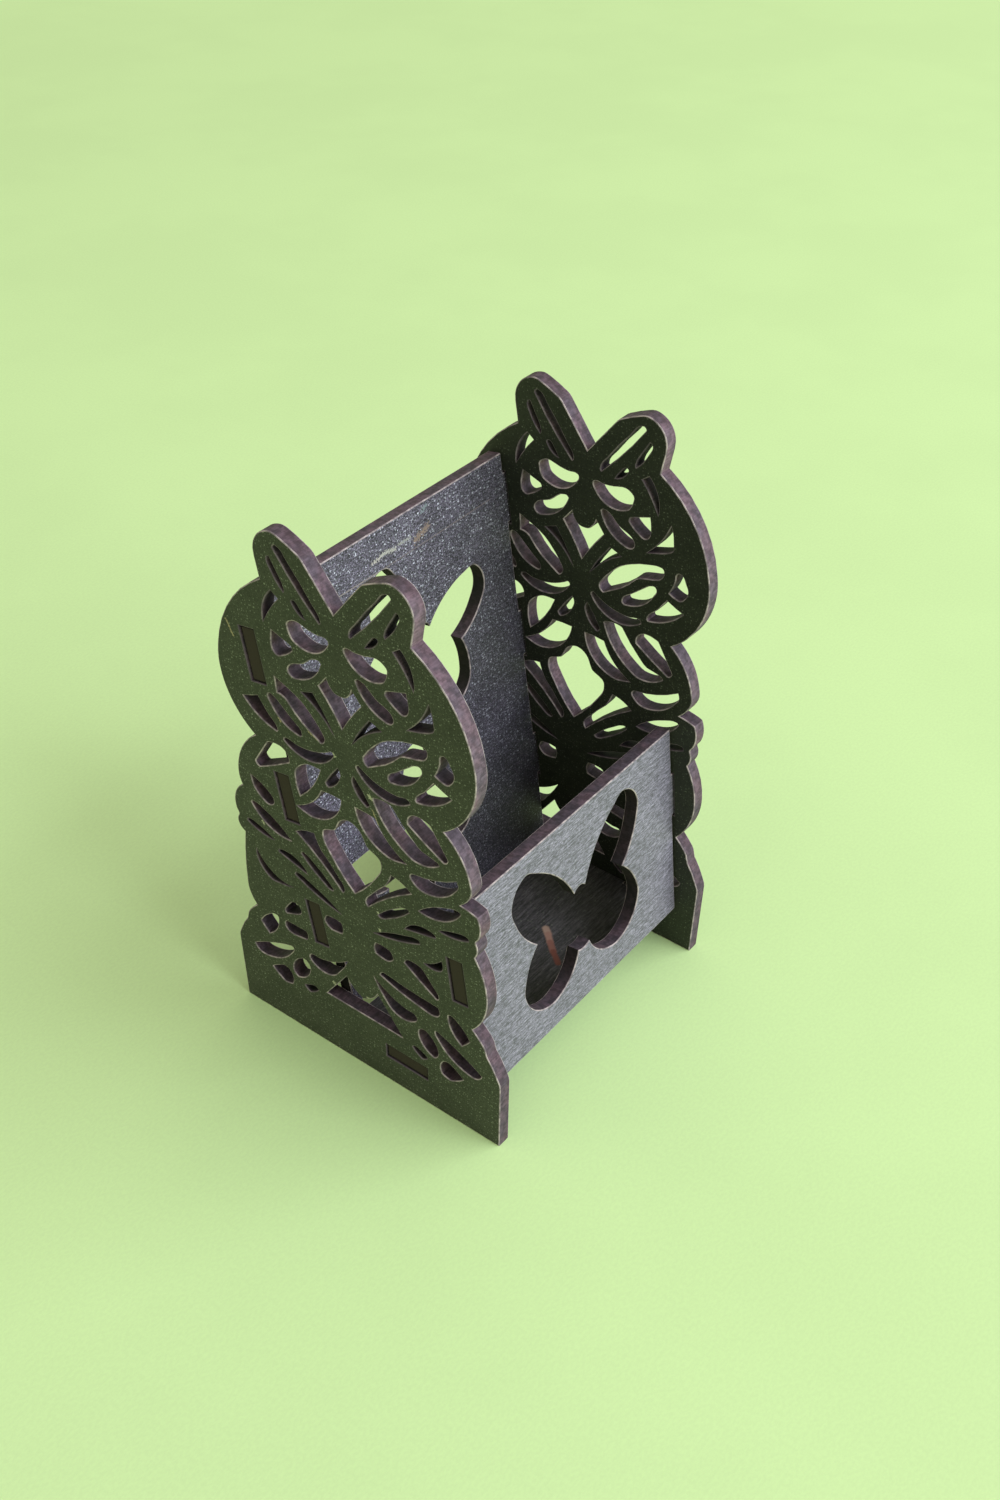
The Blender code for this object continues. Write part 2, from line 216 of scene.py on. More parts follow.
def scaled(tree, vector, factor):
    """Return a vector times a factor."""
    inputs = {0: vector, "Scale": factor}
    return put(tree, "ShaderNodeVectorMath", inputs, operation="SCALE").outputs["Vector"]


def part_of(tree, vector, axis):
    """Return a vector's X, Y or Z."""
    return put(tree, "ShaderNodeSeparateXYZ", {0: vector}).outputs[axis]


def noise_at(tree, place, fineness, detail=2.0, roughness=0.5):
    """Add a noise and return its value."""
    inputs = {"Vector": place, "Scale": fineness, "Detail": detail, "Roughness": roughness}
    return put(tree, "ShaderNodeTexNoise", inputs).outputs["Fac"]


def object_place(tree):
    """Return the Object coordinates."""
    return put(tree, "ShaderNodeTexCoord").outputs["Object"]


def blend(tree, factor, first, second, way="MIX"):
    """Mix two colours and return the result."""
    node = put(
        tree, "ShaderNodeMix", {0: factor, 6: first, 7: second}, data_type="RGBA", blend_type=way
    )
    return node.outputs[2]


def span(tree, value, low, high, to_low=0.0, to_high=1.0):
    """Map a value from one span to another with a soft start and end."""
    node = put(
        tree,
        "ShaderNodeMapRange",
        {"Value": value, "From Min": low, "From Max": high, "To Min": to_low, "To Max": to_high},
        interpolation_type="SMOOTHSTEP",
    )
    return node.outputs["Result"]


# Boards

def read_drawing(name):
    """Read a CAD board as a flat drawing of closed loops, with the material on their left."""
    form = bmesh.new()
    form.from_mesh(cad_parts[name].data)
    bmesh.ops.remove_doubles(form, verts=form.verts, dist=MERGE)
    form.normal_update()
    facing = max(form.faces, key=lambda face: face.calc_area()).normal.copy()
    # The forward face looks left, to the front or up
    if facing.x + facing.y - facing.z > 0:
        facing.negate()
    rise = Vector((0, 1, 0)) if abs(facing.z) > SAME_WAY else Vector((0, 0, 1))
    up = (rise - facing * rise.dot(facing)).normalized()
    across = up.cross(facing)
    depths = [corner.co.dot(facing) for corner in form.verts]
    after = {}
    foremost = max(depths) - SAME_PLANE
    for face in form.faces:
        if face.normal.dot(facing) < SAME_WAY or face.calc_center_median().dot(facing) < foremost:
            continue
        for loop in face.loops:
            partner = loop.link_loop_radial_next.face
            if partner.normal.dot(facing) < SAME_WAY:
                after[loop.vert.index] = loop.link_loop_next.vert.index
    form.verts.ensure_lookup_table()
    loops = []
    while after:
        start = next(iter(after))
        ring = []
        while start in after:
            corner = form.verts[start].co
            ring.append(Vector((corner.dot(across), corner.dot(up))))
            start = after.pop(start)
        loops.append(ring)
    form.free()
    return Drawing(across, up, facing, max(depths), min(depths), loops)


def turn_between(first, second):
    """Return the angle from one direction to another."""
    return first.angle(second, 0.0)


def finer(ring):
    """Redraw a ring of arc points as smooth curves between its corners."""
    count = len(ring)
    chords = [ring[(i + 1) % count] - ring[i] for i in range(count)]
    tangents = []
    for i in range(count):
        before, after = chords[i - 1], chords[i]
        if turn_between(before, after) > CORNER_TURN:
            tangents.append(None)
        elif before.length > STRAIGHT_RUN or after.length > STRAIGHT_RUN:
            tangents.append(max(before, after, key=lambda chord: chord.length).normalized())
        else:
            tangents.append(
                (before / before.length_squared + after / after.length_squared).normalized()
            )
    points = []
    for i, chord in enumerate(chords):
        start, end = ring[i], ring[(i + 1) % count]
        way = chord.normalized()
        leave, arrive = tangents[i], tangents[(i + 1) % count]
        if leave is None:
            leave = way if arrive is None else way * (2 * way.dot(arrive)) - arrive
        if arrive is None:
            arrive = way * (2 * way.dot(leave)) - leave
        pieces = max(1, math.ceil(turn_between(leave, arrive) / FACET_TURN))
        for piece in range(pieces):
            share = piece / pieces
            rest = 1 - share
            points.append(
                start * (rest * rest * (1 + 2 * share))
                + end * (share * share * (1 + 2 * rest))
                + leave * (chord.length * share * rest * rest)
                - arrive * (chord.length * share * share * rest)
            )
    return points


def inward_steps(ring):
    """Return the unit step into the material at each point of a ring, longer at corners."""
    steps = []
    count = len(ring)
    for i in range(count):
        before = (ring[i] - ring[i - 1]).normalized()
        after = (ring[(i + 1) % count] - ring[i]).normalized()
        first = Vector((-before.y, before.x))
        second = Vector((-after.y, after.x))
        step = (first + second) / max(1 + first.dot(second), MERGE)
        if step.length > MITRE_LIMIT:
            step = step.normalized() * MITRE_LIMIT
        steps.append(step)
    return steps


def signed_area(ring):
    """Return a ring's area, negative when it runs clockwise."""
    return sum(ring[i - 1].cross(ring[i]) for i in range(len(ring))) / 2


def openness(ring):
    """Return how freely light gets in at a ring: 1 round an outline, less in a narrow hole."""
    area = signed_area(ring)
    if area > 0:
        return 1.0
    if len(ring) == SLOT_CORNERS:
        return SLOT_OPENNESS
    around = sum((ring[i] - ring[i - 1]).length for i in range(len(ring)))
    return min(1.0, -2 * area / around / OPEN_WIDTH)


def drawn_in(rings, softening):
    """Draw rings in by the softening, less where they would cross, and fill them with triangles.

    Also return the point that each corner was made from, and the steps for a softening of 1.
    """
    steps = [step * softening for ring in rings for step in inward_steps(ring)]
    points = [point for ring in rings for point in ring]
    faces, first = [], 0
    for ring in rings:
        order = list(range(first, first + len(ring)))
        faces.append(order if signed_area(ring) > 0 else order[::-1])
        first += len(ring)
    for _ in range(EASING_ROUNDS):
        moved = [point + step for point, step in zip(points, steps)]
        filled = delaunay_2d_cdt(moved, [], faces, INSIDE_RINGS, 0, True)
        corners, _, triangles, made_from, _, covering = filled
        crossings = [corner for corner, sources in zip(corners, made_from) if not sources]
        if not crossings:
            # The outline is ring 0, and a triangle that a hole covers too is left out
            kept = [triangle for triangle, inside in zip(triangles, covering) if inside == [0]]
            origins = [sources[0] for sources in made_from]
            return corners, kept, origins, [step / softening for step in steps]
        for index, point in enumerate(moved):
            if min((point - crossing).length for crossing in crossings) < softening * EASING_REACH:
                steps[index] *= EASING
    raise RuntimeError("the rings of a board still cross when they are drawn in")


def blank_of(drawing, softening):
    """Make the rear face of a board, drawn in by the softening, with the step in at each corner."""
    rings = sorted((finer(ring) for ring in drawing.loops), key=signed_area, reverse=True)
    corners, kept, origins, steps = drawn_in(rings, softening)
    light = [value for ring in rings for value in [openness(ring)] * len(ring)]
    used = sorted({corner for triangle in kept for corner in triangle})
    place = {corner: index for index, corner in enumerate(used)}
    behind = drawing.facing * drawing.rear
    mesh = bpy.data.meshes.new("blank")
    mesh.from_pydata(
        [drawing.across * corners[i].x + drawing.up * corners[i].y + behind for i in used],
        [],
        [[place[corner] for corner in triangle] for triangle in kept],
    )
    sources = [origins[corner] for corner in used]
    # Adding an attribute moves the ones before it, so each is filled before the next is made
    inward = mesh.attributes.new("inward", "FLOAT_VECTOR", "POINT")
    for item, source in zip(inward.data, sources):
        item.vector = drawing.across * steps[source].x + drawing.up * steps[source].y
    opening = mesh.attributes.new("open", "FLOAT", "POINT")
    for item, source in zip(opening.data, sources):
        item.value = light[source]
    return mesh


def sheet_cutter_tree():
    """Build the tree that sweeps a board's rear face through the sheet with softened edges."""
    name = "Cut from sheet"
    if name in bpy.data.node_groups:
        return bpy.data.node_groups[name]
    tree, given, result = new_group(
        name, "GeometryNodeTree",
        {
            "Rear Face": "NodeSocketGeometry",
            "Sheet": 0.003,
            "Softening": 0.0002,
            "Facing": (0.0, 0.0, 1.0),
            "Face": "NodeSocketMaterial",
            "Rim": "NodeSocketMaterial",
            "Cut Edge": "NodeSocketMaterial",
        },
        "Board", "NodeSocketGeometry",
    )
    inward = put(
        tree, "GeometryNodeInputNamedAttribute", {"Name": "inward"}, data_type="FLOAT_VECTOR"
    )
    wall = maths(tree, "SUBTRACT", given["Sheet"], times(tree, given["Softening"], 2.0))
    body, top = given["Rear Face"], True
    rims, walls = [], []
    # Each round adds one facet: the rear edge's, the wall (which has no share), the front edge's
    rounds = [(through, -out, True) for through, out in SOFTENED_EDGE_SHARES]
    rounds.append((None, 0.0, False))
    rounds += [(through, out, True) for through, out in reversed(SOFTENED_EDGE_SHARES)]
    for through, inwards, is_rim in rounds:
        swept = put(
            tree,
            "GeometryNodeExtrudeMesh",
            {"Mesh": body, "Selection": top, "Offset Scale": 0.0, "Individual": False},
        )
        depth = wall if through is None else times(tree, given["Softening"], through)
        draw_in = times(tree, given["Softening"], inwards)
        along = scaled(tree, given["Facing"], depth)
        step = vector_maths(tree, "ADD", along, scaled(tree, inward.outputs[0], draw_in))
        moved = put(
            tree,
            "GeometryNodeSetPosition",
            {"Geometry": swept.outputs["Mesh"], "Selection": swept.outputs["Top"], "Offset": step},
        )
        body, top = moved.outputs[0], swept.outputs["Top"]
        (rims if is_rim else walls).append(swept.outputs["Side"])
    rear = put(tree, "GeometryNodeFlipFaces", {0: given["Rear Face"]})
    whole = put(tree, "GeometryNodeJoinGeometry")
    tree.links.new(rear.outputs[0], whole.inputs[0])
    tree.links.new(body, whole.inputs[0])
    closed = put(
        tree, "GeometryNodeMergeByDistance", {"Geometry": whole.outputs[0], "Distance": MERGE}
    )
    real = put(tree, "GeometryNodeRealizeInstances", {0: closed.outputs[0]})
    dressed = put(
        tree, "GeometryNodeSetMaterial", {"Geometry": real.outputs[0], "Material": given["Face"]}
    )
    for sides, finish in [(side, "Rim") for side in rims] + [(side, "Cut Edge") for side in walls]:
        dressed = put(
            tree,
            "GeometryNodeSetMaterial",
            {"Geometry": dressed.outputs[0], "Selection": sides, "Material": given[finish]},
        )
    tree.links.new(dressed.outputs[0], result["Board"])
    return tree


def cut_board(node, settings, face, rim, edge):
    """Cut a board from the sheet again, dress it, and let it stand for its CAD node."""
    drawing = read_drawing(node)
    blank = bpy.data.objects.new("blank", blank_of(drawing, settings.softening))
    blank.data.materials.append(face)
    bpy.context.collection.objects.link(blank)
    tree = sheet_cutter_tree()
    modifier = blank.modifiers.new("Cut from sheet", "NODES")
    modifier.node_group = tree
    values = {
        "Sheet": drawing.front - drawing.rear,
        "Softening": settings.softening,
        "Facing": drawing.facing,
        "Face": face,
        "Rim": rim,
        "Cut Edge": edge,
    }
    for socket in tree.interface.items_tree:
        if socket.name in values:
            modifier[socket.identifier] = values[socket.name]
    bpy.context.view_layer.update()
    depsgraph = bpy.context.evaluated_depsgraph_get()
    mesh = bpy.data.meshes.new_from_object(blank.evaluated_get(depsgraph))
    bpy.data.objects.remove(blank)
    mesh.name = node + "_cut"
    mesh.shade_smooth()
    mesh.set_sharp_from_angle(angle=CRISP_TURN)
    board = bpy.data.objects.new(node + "_cut", mesh)
    bpy.context.collection.objects.link(board)
    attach(board, "root")
    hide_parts(node)
    return board


# Finishes

def in_grains(tree, given):
    """Return a group's place in lengths across and widths up and through the board."""
    size = put(
        tree, "ShaderNodeCombineXYZ", {0: given["Length"], 1: given["Width"], 2: given["Width"]}
    )
    return vector_maths(tree, "DIVIDE", given["Vector"], size.outputs[0])


def speck_group():
    """Loose specks: one in some cells of a scattered grid, each ragged and of its own size."""
    name = "Loose specks"
    if name in bpy.data.node_groups:
        return bpy.data.node_groups[name]
    tree, given, result = new_group(
        name, "ShaderNodeTree",
        {
            "Vector": "NodeSocketVector",
            "Length": 0.0006,
            "Width": 0.0006,
            "Share": 0.5,
            "Size": 0.3,
        },
        "Mask", "NodeSocketFloat",
    )
    stretched = in_grains(tree, given)
    cells = put(
        tree,
        "ShaderNodeTexVoronoi",
        {"Vector": stretched, "Scale": 1.0, "Randomness": 1.0},
        voronoi_dimensions="2D",
    )
    chance = put(tree, "ShaderNodeSeparateColor", {0: cells.outputs["Color"]})
    chosen = maths(tree, "GREATER_THAN", given["Share"], chance.outputs[0])
    share = maths(tree, "ADD", SPECK_LEAST, chance.outputs[1])
    radius = times(tree, given["Size"], share)
    off_middle = maths(tree, "SUBTRACT", noise_at(tree, stretched, SPECK_NOISE), 0.5)
    raggedness = times(tree, off_middle, SPECK_RAGGEDNESS)
    ragged = times(tree, raggedness, given["Size"])
    distance = maths(tree, "ADD", cells.outputs["Distance"], ragged)
    inside = span(tree, maths(tree, "DIVIDE", distance, radius), *SPECK_FADE)
    tree.links.new(times(tree, inside, chosen), result["Mask"])
    return tree


def streak_group():
    """Fine streaks along the board: a stretched noise as a tone round one."""
    name = "Fine streaks"
    if name in bpy.data.node_groups:
        return bpy.data.node_groups[name]
    tree, given, result = new_group(
        name, "ShaderNodeTree",
        {"Vector": "NodeSocketVector", "Length": 0.0015, "Width": 0.0002, "Contrast": 0.2},
        "Tone", "NodeSocketFloat",
    )
    noise = noise_at(tree, in_grains(tree, given), 1.0, STREAK_DETAIL, STREAK_ROUGHNESS)
    low = maths(tree, "SUBTRACT", 1.0, given["Contrast"])
    high = maths(tree, "ADD", 1.0, given["Contrast"])
    tree.links.new(span(tree, noise, *NOISE_SPAN, low, high), result["Tone"])
    return tree


def cloud_group():
    """Slow changes of tone, as a value round one half."""
    name = "Cloudy tone"
    if name in bpy.data.node_groups:
        return bpy.data.node_groups[name]
    tree, given, result = new_group(
        name, "ShaderNodeTree",
        {"Vector": "NodeSocketVector", "Size": 0.01, "Detail": 3.0},
        "Value", "NodeSocketFloat",
    )
    scale = maths(tree, "DIVIDE", 1.0, given["Size"])
    noise = noise_at(tree, given["Vector"], scale, given["Detail"], CLOUD_ROUGHNESS)
    tree.links.new(span(tree, noise, *NOISE_SPAN), result["Value"])
    return tree


def scuff_group():
    """A ragged pale mark between two points of the board's forward face."""
    name = "Scuff"
    if name in bpy.data.node_groups:
        return bpy.data.node_groups[name]
    tree, given, result = new_group(
        name, "ShaderNodeTree",
        {
            "Vector": "NodeSocketVector",
            "Start": (0.0, 0.0, 0.0),
            "End": (0.0, 0.0, 0.0),
            "Width": 0.0005,
            "Raggedness": 0.5,
        },
        "Mask", "NodeSocketFloat",
    )
    flat = vector_maths(tree, "MULTIPLY", given["Vector"], (1, 1, 0))
    reach = vector_maths(tree, "SUBTRACT", given["End"], given["Start"])
    from_start = vector_maths(tree, "SUBTRACT", flat, given["Start"])
    along = vector_maths(tree, "DOT_PRODUCT", from_start, reach, "Value")
    whole = vector_maths(tree, "DOT_PRODUCT", reach, reach, "Value")
    share = put(tree, "ShaderNodeMath", {0: along, 1: whole}, operation="DIVIDE", use_clamp=True)
    off = vector_maths(tree, "SUBTRACT", from_start, scaled(tree, reach, share.outputs[0]))
    distance = vector_maths(tree, "LENGTH", off, output="Value")
    off_middle = maths(tree, "SUBTRACT", noise_at(tree, given["Vector"], SCUFF_NOISE), 0.5)
    ragged = times(tree, off_middle, given["Raggedness"])
    share_out = maths(tree, "DIVIDE", distance, given["Width"])
    outline = maths(tree, "ADD", share_out, times(tree, ragged, SCUFF_RAGGEDNESS))
    mask = span(tree, outline, *SCUFF_FADE)
    forward = maths(tree, "GREATER_THAN", part_of(tree, given["Vector"], "Z"), SCUFF_DEPTH)
    tree.links.new(times(tree, mask, forward), result["Mask"])
    return tree


def board_coordinates(tree, drawing):
    """Object coordinates laid in a board's plane: across, up, and through it."""
    axes = Matrix((drawing.across, drawing.up, drawing.facing)).transposed()
    mapping = put(
        tree,
        "ShaderNodeMapping",
        {
            "Vector": object_place(tree),
            "Rotation": axes.to_euler(),
            "Location": drawing.facing * drawing.front,
        },
        vector_type="TEXTURE",
    )
    return mapping.outputs[0]


def group_node(tree, group, output, **inputs):
    """Place a node group with its own values and return one output."""
    named = {name.replace("_", " "): value for name, value in inputs.items()}
    return put(tree, "ShaderNodeGroup", named, node_tree=group).outputs[output]


def clouds(tree, place, size, detail=3.0):
    """Return the cloudy tone at a place."""
    return group_node(tree, cloud_group(), "Value", Vector=place, Size=size, Detail=detail)


def start_material(name, roughness, gloss):
    """Start a material and return its tree and its Principled shader."""
    material = bpy.data.materials.new(name)
    material.use_nodes = True
    tree = material.node_tree
    shader = tree.nodes["Principled BSDF"]
    shader.inputs["Roughness"].default_value = roughness
    shader.inputs["Specular IOR Level"].default_value = gloss
    return material, tree, shader


def add_bump(tree, shader, height, distance):
    """Raise the surface by a height value."""
    bump = put(tree, "ShaderNodeBump", {"Height": height, "Distance": distance, "Strength": 1.0})
    tree.links.new(bump.outputs[0], shader.inputs["Normal"])


def rgba(colour, factor=1.0):
    """Return a colour with full alpha, made darker or lighter."""
    return (colour[0] * factor, colour[1] * factor, colour[2] * factor, 1.0)


def beyond(tree, reach):
    """Mask what lies on a tenon, further than the reach to either side."""
    sideways = maths(tree, "ABSOLUTE", part_of(tree, object_place(tree), "X"))
    return span(tree, sideways, reach, reach + TENON_FADE)


def rim_material(name, settings, reach, shade):
    """Pale cut-edge burr, part painted highlight: worn, painted shade in slits, burnt tenons."""
    if name in bpy.data.materials:
        return bpy.data.materials[name]
    material, tree, shader = start_material(name, *RIM_FINISH)
    place = object_place(tree)
    wear = clouds(tree, place, WEAR_SIZE, 4.0)
    opening = put(tree, "ShaderNodeAttribute", attribute_name="open").outputs["Fac"]
    # Painted shade: the rim fades to the worn tone in narrow holes, where little light gets in
    lit = span(tree, opening, *RIM_OPENNESS)
    pale = times(tree, span(tree, wear, 0, 1, *WEAR_TONES), lit)
    worn = rgba(settings.edge_colour, WORN_TONE * shade)
    colour = blend(tree, pale, worn, rgba(settings.rim_colour, shade))
    colour = blend(tree, beyond(tree, reach), colour, rgba(settings.tenon_colour, WORN_TONE))
    tree.links.new(colour, shader.inputs["Base Color"])
    return material


def edge_material(name, settings, drawing, reach, shade, left_shade):
    """The cut edge: ribbed and mottled, painted shade in slits, low down and facing up or left."""
    material, tree, shader = start_material(name, *EDGE_FINISH)
    place = board_coordinates(tree, drawing)
    ribs = noise_at(tree, vector_maths(tree, "MULTIPLY", place, RIB_STRETCH), RIB_NOISE)
    mottle = clouds(tree, place, MOTTLE_SIZE, 5.0)
    patches = clouds(tree, place, PATCH_SIZE)
    depth = part_of(tree, place, "Z")
    facing = put(tree, "ShaderNodeNewGeometry").outputs["Normal"]
    opening = put(tree, "ShaderNodeAttribute", attribute_name="open").outputs["Fac"]
    deep = span(tree, depth, *SLIT_DEPTHS)
    closed = span(tree, opening, *SLIT_OPENNESS, settings.slit_shade, 0.0)
    tone = span(tree, mottle, 0, 1, *MOTTLE_TONES)
    # Painted shade: darker in slits, to the rear, near the foot and where it faces up or left
    for part in (
        maths(tree, "SUBTRACT", 1.0, times(tree, closed, deep)),
        span(tree, patches, 0, 1, *PATCH_TONES),
        span(tree, ribs, *NOISE_SPAN, *RIB_TONES),
        span(tree, depth, drawing.rear - drawing.front, 0.0, *DEPTH_TONES),
        span(tree, part_of(tree, place, "Y"), *LOW_TO_TOP, settings.low_edge_shade, TOP_TONE),
        span(tree, part_of(tree, facing, "Z"), *FACING_UP, 1.0, settings.upward_shade),
        span(tree, part_of(tree, facing, "X"), *FACING_LEFT, left_shade, 1.0),
    ):
        tone = times(tree, tone, part)
    colour = blend(tree, 1.0, rgba(settings.edge_colour, shade), tone, "MULTIPLY")
    warm = blend(tree, 1.0, colour, WARM_TINT, "MULTIPLY")
    colour = blend(tree, patches, colour, warm)
    colour = blend(tree, beyond(tree, reach), colour, rgba(settings.tenon_colour))
    tree.links.new(colour, shader.inputs["Base Color"])
    add_bump(tree, shader, ribs, RIB_RELIEF)
    return material


def face_material(name, colour, speck_colour, drawing, looks):
    """A board's face: dark coat with cloudy tone, streaks, pale specks, scuffs and painted shade.
    """
    material, tree, shader = start_material(name, looks["roughness"], looks["gloss"])
    place = board_coordinates(tree, drawing)
    cloud = clouds(tree, place, looks["cloud_size"])
    tone = span(tree, cloud, 0, 1, 1 - looks["cloud"], 1 + looks["cloud"])
    for length, width, contrast in looks["streaks"]:
        streaks = group_node(
            tree, streak_group(), "Tone",
            Vector=place, Length=length, Width=width, Contrast=contrast,
        )
        tone = times(tree, tone, streaks)
    # A tone gradient along a way in the board's plane; on the back panel it is painted shade
    if "darkening" in looks:
        direction, low, high, least, most = looks["darkening"]
        along = vector_maths(tree, "DOT_PRODUCT", place, direction, "Value")
        tone = times(tree, tone, span(tree, along, low, high, least, most))
    # Painted shade: a side board's inner face is darker than its outer face
    if "sides" in looks:
        depth = part_of(tree, place, "Z")
        middle = (drawing.rear - drawing.front) / 2
        change = [middle * share for share in SIDES_CHANGE]
        tone = times(tree, tone, span(tree, depth, *change, *looks["sides"]))
    base = blend(tree, 1.0, rgba(colour), tone, "MULTIPLY")
    height = tone
    for length, width, share, size, strength in looks["specks"]:
        specks = group_node(
            tree, speck_group(), "Mask",
            Vector=place, Length=length, Width=width, Share=share, Size=size,
        )
        speck = blend(tree, 1.0, rgba(speck_colour), tone, "MULTIPLY")
        base = blend(tree, times(tree, specks, strength), base, speck)
        height = maths(tree, "ADD", height, times(tree, specks, SPECK_RELIEF))
    for start, end, width, ragged, mark_colour in looks.get("scuffs", ()):
        mask = group_node(
            tree, scuff_group(), "Mask",
            Vector=place, Start=(*start, 0), End=(*end, 0), Width=width, Raggedness=ragged,
        )
        base = blend(tree, mask, base, rgba(mark_colour))
    tree.links.new(base, shader.inputs["Base Color"])
    add_bump(tree, shader, height, FACE_RELIEF)
    return material


# Painted shade on the side boards' inner faces: how dark they are beside their outer faces
INNER_SHADE = 0.45

# Painted shade on the back panel's cut walls that face left: their tone beside the front panel's
BACK_LEFT_SHADE = 0.55

# A face's looks. Streaks: length, width, contrast. Specks: cell length and width, share of cells
# that hold one, size, strength. Darkening: way in the board's plane, from, to, least, most.
# Scuffs: start, end, width, raggedness, colour. Sides: painted shade, as the tone of the rear face
# and of the forward face. All places are across and up the board.
SIDE_LOOKS = {
    "roughness": 0.6,
    "gloss": 0.4,
    "cloud_size": 0.009,
    "cloud": 0.16,
    "streaks": [(0.00034, 0.00028, 0.46), (0.0010, 0.0007, 0.20)],
    "specks": [(0.0010, 0.0007, 0.42, 0.16, 0.85), (0.0005, 0.0007, 0.42, 0.20, 0.50)],
    "darkening": ((0.0, -1.0, 0.0), -0.110, -0.030, 0.94, 1.12),
}
PALE, STRAW = (0.42, 0.42, 0.30), (0.33, 0.27, 0.16)
LEFT_SCUFFS = [
    ((-0.0252, 0.0972), (-0.0238, 0.0943), 0.00022, 0.9, STRAW),
    ((0.0052, 0.0740), (0.0056, 0.0736), 0.00050, 0.8, PALE),
    ((0.0058, 0.0712), (0.0069, 0.0684), 0.00016, 1.0, STRAW),
    ((-0.0085, 0.0824), (-0.0081, 0.0820), 0.00042, 0.8, PALE),
    ((-0.0080, 0.0815), (-0.0060, 0.0806), 0.00018, 1.1, STRAW),
    ((-0.0150, 0.0812), (-0.0146, 0.0806), 0.00024, 0.9, STRAW),
    ((-0.0027, 0.0793), (-0.0022, 0.0790), 0.00034, 0.8, PALE),
    ((-0.0225, 0.0540), (-0.0222, 0.0536), 0.00030, 0.9, PALE),
    ((0.0054, 0.0467), (0.0062, 0.0460), 0.00034, 0.9, PALE),
    ((0.0056, 0.0425), (0.0058, 0.0422), 0.00034, 0.9, PALE),
    ((0.0111, 0.0511), (0.0117, 0.0508), 0.00036, 0.8, PALE),
    ((-0.0078, 0.0200), (-0.0071, 0.0195), 0.00034, 0.9, PALE),
    ((0.0012, 0.0213), (0.0021, 0.0211), 0.00026, 0.8, PALE),
    ((0.0056, 0.0243), (0.0061, 0.0240), 0.00030, 0.8, PALE),
]
FRONT_LOOKS = {
    "roughness": 0.5,
    "gloss": 0.5,
    "cloud_size": 0.008,
    "cloud": 0.08,
    "streaks": [(0.0019, 0.00036, 0.54), (0.0005, 0.00028, 0.38), (0.010, 0.0009, 0.20)],
    "specks": [(0.0016, 0.0006, 0.45, 0.24, 0.35)],
}
BACK_LOOKS = {
    "roughness": 0.55,
    "gloss": 0.4,
    "cloud_size": 0.007,
    "cloud": 0.14,
    "streaks": [(0.00042, 0.00032, 0.90), (0.0013, 0.00050, 0.40), (0.0060, 0.0010, 0.14)],
    "specks": [
        (0.0011, 0.0006, 0.42, 0.23, 0.90),
        (0.0006, 0.0010, 0.35, 0.22, 0.80),
        (0.0004, 0.0003, 0.45, 0.26, 0.55),
    ],
    # Painted shade: darker low down and towards the right side board
    "darkening": ((-1.5, 1.0, 0.0), -0.020, 0.120, 0.41, 1.22),
    "scuffs": [
        ((-0.020, 0.0955), (-0.004, 0.0953), 0.00016, 0.35, (0.29, 0.24, 0.24)),
        ((-0.004, 0.0953), (0.028, 0.0956), 0.00012, 0.50, (0.19, 0.15, 0.16)),
        ((-0.0058, 0.0974), (-0.0030, 0.0977), 0.00034, 1.2, (0.46, 0.42, 0.40)),
        ((-0.0032, 0.0980), (0.0004, 0.0976), 0.00046, 1.3, (0.42, 0.40, 0.38)),
        ((0.0014, 0.0979), (0.0047, 0.0979), 0.00034, 1.5, (0.33, 0.32, 0.32)),
        ((0.0060, 0.0968), (0.0098, 0.0980), 0.00070, 1.2, (0.25, 0.18, 0.155)),
        ((0.0088, 0.1012), (0.0102, 0.1018), 0.00040, 1.5, (0.20, 0.23, 0.26)),
    ],
}
FLOOR_LOOKS = {
    "roughness": 0.6,
    "gloss": 0.4,
    "cloud_size": 0.010,
    "cloud": 0.15,
    "streaks": [(0.0030, 0.00045, 0.50), (0.0006, 0.0003, 0.25), (0.0140, 0.0009, 0.30)],
    "specks": [(0.0010, 0.0010, 0.25, 0.20, 0.35)],
    "scuffs": [
        # Pale reddish-brown strip, darker towards the front as painted shadow of the front panel
        ((0.0105, -0.0107), (0.0094, -0.0121), 0.0011, 0.06, (0.46, 0.30, 0.23)),
        ((0.0094, -0.0121), (0.0077, -0.0139), 0.0010, 0.06, (0.40, 0.22, 0.17)),
        ((0.0077, -0.0139), (0.0058, -0.0161), 0.0010, 0.06, (0.30, 0.13, 0.10)),
        ((0.0058, -0.0161), (0.0036, -0.0190), 0.0009, 0.10, (0.22, 0.075, 0.055)),
    ],
}


# Stage

def plain_sight(tree):
    """Say whether a ray comes from the camera, a reflection or clear material."""
    path = put(tree, "ShaderNodeLightPath")
    seen = path.outputs["Is Camera Ray"]
    for ray in ("Is Glossy Ray", "Is Transmission Ray"):
        seen = maths(tree, "MAXIMUM", seen, path.outputs[ray])
    return seen


